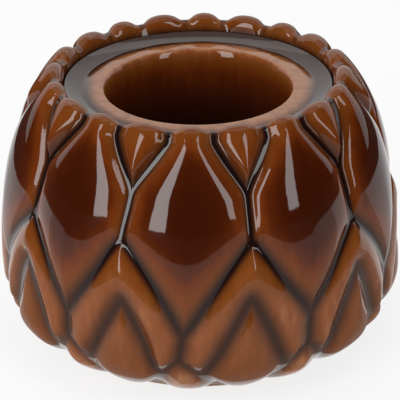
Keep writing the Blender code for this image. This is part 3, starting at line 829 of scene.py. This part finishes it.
def make_glaze():
    """Clear stained glass whose colour follows how thick it lies. The same values also paint light
    and shade on it.
    """
    material, output = new_material("amber_glaze_with_painted_shade")
    tree = material.node_tree
    place = add(tree, "TexCoord").outputs["Object"]
    # This value also carries painted light: lighter low on the big leaves, darker deep in the cup.
    thickness_and_light = add(tree, "Attribute", attribute_name="glaze_and_painted_light").outputs["Fac"]
    scale = (1 / RUN_WIDTH, 1 / RUN_WIDTH, 1 / RUN_LENGTH)
    stretched = add(tree, "Mapping", {"Vector": place, "Scale": scale}).outputs["Vector"]
    runs = add(tree, "TexNoise", {"Vector": stretched, "Scale": 1.0, "Detail": 4.0})
    wander = add(
        tree,
        "MapRange",
        {
            "Value": runs.outputs["Fac"],
            "From Min": 0.3,
            "From Max": 0.7,
            "To Min": -RUN_SWING,
            "To Max": RUN_SWING,
        },
    ).outputs["Result"]
    wandered = add(tree, "Math", {0: thickness_and_light, 1: wander}, operation="ADD").outputs[0]
    share = add(tree, "Math", {0: wandered, 1: RAMP_END}, operation="DIVIDE").outputs[0]
    ramp = add(tree, "ValToRGB", {"Fac": share})
    stops = ramp.color_ramp.elements
    stops[0].color, stops[1].color = linear(GLAZE_STOPS[0][1]), linear(GLAZE_STOPS[-1][1])
    for place_mm, colour in GLAZE_STOPS[1:-1]:
        stops.new(place_mm / RAMP_END).color = linear(colour)
    # The pool share also carries painted shade deep in the cup and in the corner at the ledge.
    pool_and_shade = add(tree, "Attribute", attribute_name="pool_and_shade").outputs["Fac"]
    # A mix of colours takes its share in socket 0 and its two colours in sockets 6 and 7.
    colour = add(
        tree, "Mix", {0: pool_and_shade, 6: ramp.outputs["Color"], 7: linear(POOL_AND_SHADE_COLOUR)}, data_type="RGBA"
    ).outputs[2]
    peel = add(tree, "TexNoise", {"Vector": place, "Scale": 1 / PEEL_WIDTH, "Detail": 1.0})
    ripple = add(
        tree, "Bump", {"Height": peel.outputs["Fac"], "Strength": 0.5, "Distance": PEEL_HEIGHT}
    ).outputs["Normal"]
    shader = add(
        tree,
        "BsdfPrincipled",
        {"Base Color": colour, "Roughness": 0.05, "IOR": 1.45, "Normal": ripple},
    )
    tree.links.new(shader.outputs[0], output.inputs[0])
    return material


glaze = make_glaze()
print("glaze colours:", len(GLAZE_STOPS))

# %% [markdown]
# ## Bare clay
# Glaze would weld a pot to the kiln shelf, so the foot ring and the base are wiped clean
# before firing. What shows there is biscuit-fired buff earthenware: matt, chalky and slightly
# speckled, with grains of about 0.3 mm.

# %% Bare clay material
GRAIN, GRAIN_HEIGHT = 0.3 * MM, 0.05 * MM


def make_clay():
    """Unglazed earthenware with fine speckles."""
    material, output = new_material("buff_biscuit_clay")
    tree = material.node_tree
    place = add(tree, "TexCoord").outputs["Object"]
    grains = add(tree, "TexNoise", {"Vector": place, "Scale": 1 / GRAIN, "Detail": 3.0})
    ramp = add(tree, "ValToRGB", {"Fac": grains.outputs["Fac"]})
    ramp.color_ramp.elements[0].position = 0.30
    ramp.color_ramp.elements[0].color = linear("#a98d6c")
    ramp.color_ramp.elements[1].position = 0.60
    ramp.color_ramp.elements[1].color = linear("#cdb594")
    rough = add(
        tree, "Bump", {"Height": grains.outputs["Fac"], "Strength": 0.6, "Distance": GRAIN_HEIGHT}
    ).outputs["Normal"]
    shader = add(
        tree,
        "BsdfPrincipled",
        {"Base Color": ramp.outputs["Color"], "Roughness": 0.85, "Normal": rough},
    )
    tree.links.new(shader.outputs[0], output.inputs[0])
    return material


shell.data.materials.append(glaze)
shell.data.materials.append(make_clay())
shell.data.polygons.foreach_set("material_index", is_bare.astype(np.int32))
cup.data.materials.append(glaze)
print("glazed pieces:", shell.name, cup.name)

# %% [markdown]
# ## Felt
# Pressed wool felt has no weave, only a tangle of fibres about 0.2 mm apart. It is very rough,
# and stray fibres catch the light at grazing angles, which Blender calls sheen.

# %% Felt material
FIBRE, FUZZ_HEIGHT = 0.2 * MM, 0.1 * MM


def make_felt():
    """Dark wool fibres, pressed without a weave."""
    material, output = new_material("pressed_wool_felt")
    tree = material.node_tree
    place = add(tree, "TexCoord").outputs["Object"]
    fibres = add(
        tree, "TexNoise", {"Vector": place, "Scale": 1 / FIBRE, "Detail": 4.0, "Distortion": 1.5}
    )
    ramp = add(tree, "ValToRGB", {"Fac": fibres.outputs["Fac"]})
    ramp.color_ramp.elements[0].position = 0.35
    ramp.color_ramp.elements[0].color = linear("#2b2724")
    ramp.color_ramp.elements[1].position = 0.70
    ramp.color_ramp.elements[1].color = linear("#544c45")
    fuzz = add(
        tree, "Bump", {"Height": fibres.outputs["Fac"], "Strength": 0.8, "Distance": FUZZ_HEIGHT}
    ).outputs["Normal"]
    shader = add(
        tree,
        "BsdfPrincipled",
        {
            "Base Color": ramp.outputs["Color"],
            "Roughness": 0.95,
            "Sheen Weight": 0.4,
            "Normal": fuzz,
        },
    )
    tree.links.new(shader.outputs[0], output.inputs[0])
    return material


felt = make_felt()
for pad in pads:
    pad.data.materials.append(felt)
print("felt on", len(pads), "pads")

# %% [markdown]
# ## Table and dark cloth
# The pot stands on a plain white table under a white ceiling. A glossy dark pot mirrors the
# whole room, so photographers put dark cloth where the room would only make it milky. Here
# the cloth lies on the far part of the table, hangs all round and nearly closes overhead, with
# a wide opening behind the pot for the pale wall to gleam on the ledge and along the sides. A
# light grey card on the near side calms the table's own reflection. Both are only seen in
# reflections.

# %% Build the table and the cloth
# Metres: how far the table goes, where the cloth begins on it, and where the card begins.
TABLE_REACH, CLOTH_RADIUS, CLOTH_LIFT = 6.0, 3.0, 2 * MM
TABLE_BARE, MORE_BARE, CARD_INNER = 0.24, 0.5, 0.044
# Degrees: the opening in the cloth, the cloth's top, and the size of its squares.
OPENING_WIDTH, OPENING_LOW, OPENING_TOP, CLOTH_TOP = 140, 2, 56, 86
TURN_STEP, RISE_STEP = 5, 6


def plain_object(name, points, faces):
    """A flat-faced object of the stage."""
    mesh = bpy.data.meshes.new(name)
    mesh.from_pydata(points, [], faces)
    obj = bpy.data.objects.new(name, mesh)
    bpy.context.scene.collection.objects.link(obj)
    return obj


signs = ((-1, -1), (1, -1), (1, 1), (-1, 1))
corners = [(x * TABLE_REACH, y * TABLE_REACH, 0.0) for x, y in signs]
table = plain_object("white_table", corners, [(0, 1, 2, 3)])


def cloth_point(turn, rise, away=CLOTH_RADIUS):
    """A point at a turn from straight behind, clockwise, and at a rise, both in degrees."""
    turn, rise = math.radians(turn), math.radians(rise)
    level = away * math.cos(rise)
    return level * math.sin(turn), level * math.cos(turn), away * math.sin(rise) + CLOTH_LIFT


def bare_point(turn):
    """A point on the rim of the cloth, which lies farther off on the right."""
    rightwards = max(0, math.sin(math.radians(turn)))
    return cloth_point(turn, 0, TABLE_BARE * (1 + MORE_BARE * rightwards**2))


# The first row is the cloth's rim on the table, and the second its far edge there.
turns = range(0, 360, TURN_STEP)
rises = (0, 0, *range(OPENING_LOW, CLOTH_TOP + 1, RISE_STEP))
cloth_points = [
    cloth_point(turn, rise) if row else bare_point(turn)
    for row, rise in enumerate(rises)
    for turn in turns
]
cloth_faces = []
for row, rise in enumerate(rises[:-1]):
    for column, turn in enumerate(turns):
        behind = turn < OPENING_WIDTH / 2 or turn >= 360 - OPENING_WIDTH / 2
        if behind and OPENING_LOW <= rise < OPENING_TOP:
            continue
        after = (column + 1) % len(turns)
        low, high = row * len(turns), (row + 1) * len(turns)
        cloth_faces.append((low + column, low + after, high + after, high + column))
cloth = plain_object("dark_cloth", cloth_points, cloth_faces)
near_turns = range(90, 271, TURN_STEP)
card_points = [cloth_point(turn, 0, CARD_INNER) for turn in near_turns]
card_points += [bare_point(turn) for turn in near_turns]
after_inner = len(near_turns)
card_faces = [(k, k + 1, after_inner + k + 1, after_inner + k) for k in range(after_inner - 1)]
card = plain_object("grey_card", card_points, card_faces)
for unseen in (cloth, card):
    for kind in ("camera", "diffuse", "transmission", "volume_scatter", "shadow"):
        setattr(unseen, f"visible_{kind}", False)
print("table reaches", TABLE_REACH, "m, cloth faces:", len(cloth_faces))

# %% [markdown]
# ## Materials of the stage
# The table is matt white laminate. A catalogue picture shows it as pure white, so to the
# camera and in reflections the table is part lit surface and part plain white, and the pot's
# shadow stays on it. Seen from below it isn't there, so the underside can be looked at. The
# cloth is black cotton velvet, which gives back next to nothing, and the card is plain
# uncoated board.

# %% Stage materials
WHITE_SHARE = 0.8


def white_to_the_eye(tree):
    """1 for camera, glossy and transmission rays, and 0 for the light that falls on things."""
    path = add(tree, "LightPath").outputs
    seen = add(
        tree, "Math", {0: path["Is Camera Ray"], 1: path["Is Glossy Ray"]}, operation="MAXIMUM"
    )
    return add(
        tree, "Math", {0: seen.outputs[0], 1: path["Is Transmission Ray"]}, operation="MAXIMUM"
    ).outputs[0]


material, output = new_material("matt_white_laminate")
tree = material.node_tree
share = add(tree, "Math", {0: white_to_the_eye(tree), 1: WHITE_SHARE}, operation="MULTIPLY")
matt = add(tree, "BsdfPrincipled", {"Base Color": linear("#f7f7f6"), "Roughness": 0.8})
plain = add(tree, "Emission", {"Color": (1, 1, 1, 1), "Strength": 1.0})
top = add(tree, "MixShader", {0: share.outputs[0], 1: matt.outputs[0], 2: plain.outputs[0]})
clear = add(tree, "BsdfTransparent")
behind = add(tree, "NewGeometry").outputs["Backfacing"]
both = add(tree, "MixShader", {0: behind, 1: top.outputs[0], 2: clear.outputs[0]})
tree.links.new(both.outputs[0], output.inputs[0])
table.data.materials.append(material)

material, output = new_material("black_cotton_velvet")
velvet = add(
    material.node_tree, "BsdfPrincipled", {"Base Color": linear("#050505"), "Roughness": 1.0}
)
material.node_tree.links.new(velvet.outputs[0], output.inputs[0])
cloth.data.materials.append(material)

material, output = new_material("light_grey_board")
board = add(
    material.node_tree, "BsdfPrincipled", {"Base Color": linear("#c8c3be"), "Roughness": 1.0}
)
material.node_tree.links.new(board.outputs[0], output.inputs[0])
card.data.materials.append(material)
print("stage materials:", [obj.data.materials[0].name for obj in (table, cloth, card)])

# %% [markdown]
# ## Light
# Two tall strip softboxes stand in front, left and right, and draw the long streaks on the
# leaves. A mirror-like surface shows a lamp as bright as the lamp is, times the glaze's four
# to five per cent, so the strips are a few times brighter than white paper. A wide soft lamp
# overhead and an even white room fill in the rest, and a weak square one on the left, kept out
# of the reflections, makes the left flank of each leaf lighter than the right one.

# %% Lamps and world
LOOK_AT = Vector((0, 0, 36 * MM))
CAMERA_TURN = 2.774  # degrees to the right of the front leaf
ROOM_LIGHT = 0.41


def softbox(name, turn, rise, distance, width, tall, radiance):
    """A softbox at a turn from the camera, in degrees, and at a rise above the table."""
    turn, rise = math.radians(turn + CAMERA_TURN), math.radians(rise)
    level = math.cos(rise)
    away = Vector((math.sin(turn) * level, -math.cos(turn) * level, math.sin(rise)))
    light = bpy.data.lights.new(name, "AREA")
    light.shape = "RECTANGLE"
    light.size, light.size_y = width, tall
    light.energy = radiance * math.pi * width * tall
    lamp = bpy.data.objects.new(name, light)
    lamp.location = LOOK_AT + away * distance
    lamp.rotation_euler = away.to_track_quat("Z", "Y").to_euler()
    bpy.context.scene.collection.objects.link(lamp)
    return lamp


softbox("left_strip", -37, 24.5, 1.1, 0.31, 1.04, 6.2)
softbox("right_strip", 43, 27.0, 1.1, 0.24, 0.92, 4.8)
softbox("overhead", 180, 78, 1.5, 2.0, 2.0, 0.6)
side_fill = softbox("side_fill", -78, 22, 1.2, 0.9, 0.9, 1.6)
side_fill.visible_glossy = False

world = bpy.data.worlds.new("white_room")
world.use_nodes = True
world.node_tree.nodes.clear()
tree = world.node_tree
eye = white_to_the_eye(tree)
strength = add(tree, "MapRange", {"Value": eye, "To Min": ROOM_LIGHT, "To Max": 1})
room = add(tree, "Background", {"Color": (1, 1, 1, 1), "Strength": strength.outputs["Result"]})
tree.links.new(room.outputs[0], add(tree, "OutputWorld").inputs[0])
bpy.context.scene.world = world
bpy.context.scene.view_settings.view_transform = "Standard"

# %% [markdown]
# ## Camera
# The photographer stood close, looking down by about 27 degrees through a long lens. The
# distance and the small roll were found by matching the leaf tips, the crown and the outline.

# %% Camera
DISTANCE, RISE, ROLL = 0.4646, math.radians(26.645), math.radians(-0.561)
# The picture's width, the lens's focal length and the place of LOOK_AT, all in pixels.
PIXELS, FOCAL_PIXELS, MIDDLE_X, MIDDLE_Y = 400, 1867.39, 199.312, 192.306
camera_data = bpy.data.cameras.new("camera")
camera_data.sensor_width = 36
camera_data.lens = FOCAL_PIXELS * camera_data.sensor_width / PIXELS
camera_data.shift_x = (PIXELS / 2 - MIDDLE_X) / PIXELS
camera_data.shift_y = (MIDDLE_Y - PIXELS / 2) / PIXELS
camera_data.clip_start = 0.01
camera = bpy.data.objects.new("camera", camera_data)
bpy.context.scene.collection.objects.link(camera)
camera.matrix_world = (
    Matrix.Rotation(math.radians(CAMERA_TURN), 4, "Z")
    @ Matrix.Translation((0, -DISTANCE * math.cos(RISE), LOOK_AT.z + DISTANCE * math.sin(RISE)))
    @ Matrix.Rotation(math.pi / 2 - RISE, 4, "X")
    @ Matrix.Rotation(ROLL, 4, "Z")
)
bpy.context.scene.camera = camera
print("lens in mm:", round(camera_data.lens, 1))
